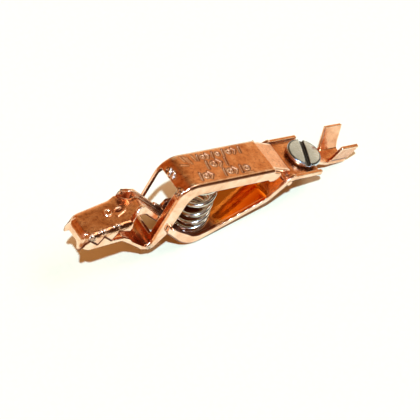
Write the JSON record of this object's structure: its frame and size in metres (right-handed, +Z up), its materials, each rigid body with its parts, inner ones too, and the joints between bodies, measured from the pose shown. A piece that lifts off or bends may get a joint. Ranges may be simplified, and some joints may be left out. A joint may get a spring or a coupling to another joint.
{
  "type": "ground clamp",
  "caption": "Small cross-arm spring clip of stamped copper with toothed jaws, a screw terminal and a cable crimp, for a ground or test lead.",
  "frame": {"origin": "centre of the bounding box on the surface that the clip rests on", "axes": "+X along the clip from the jaws to the cable end, +Y across it, +Z up as it rests on its belly and crimp end"},
  "size_m": [0.0728, 0.0118, 0.0197],
  "materials": {
    "copper": "bright copper, lightly tumbled",
    "spring_steel": "plain drawn wire",
    "screw_steel": "zinc plated"
  },
  "bodies": {
    "terminal_side": {"terminal_lever": "copper", "spring": "spring_steel"},
    "thumb_side": {"thumb_lever": "copper"},
    "screw": {"terminal_screw": "screw_steel"}
  },
  "joints": [
    {"name": "jaw_hinge", "type": "hinge", "parent": "terminal_side", "child": "thumb_side", "pos_m": [0.01616, 0, 0.00685], "axis": [0, -1, 0], "range_deg": [0, 15], "stiffness_Nm_per_rad": 0.3, "springref_deg": -20.05, "deforming": ["spring"]},
    {"name": "screw_travel", "type": "slide", "parent": "terminal_side", "child": "screw", "axis": [0.3163, 0, 0.9487], "range_m": [0, 0.0025]}
  ]
}
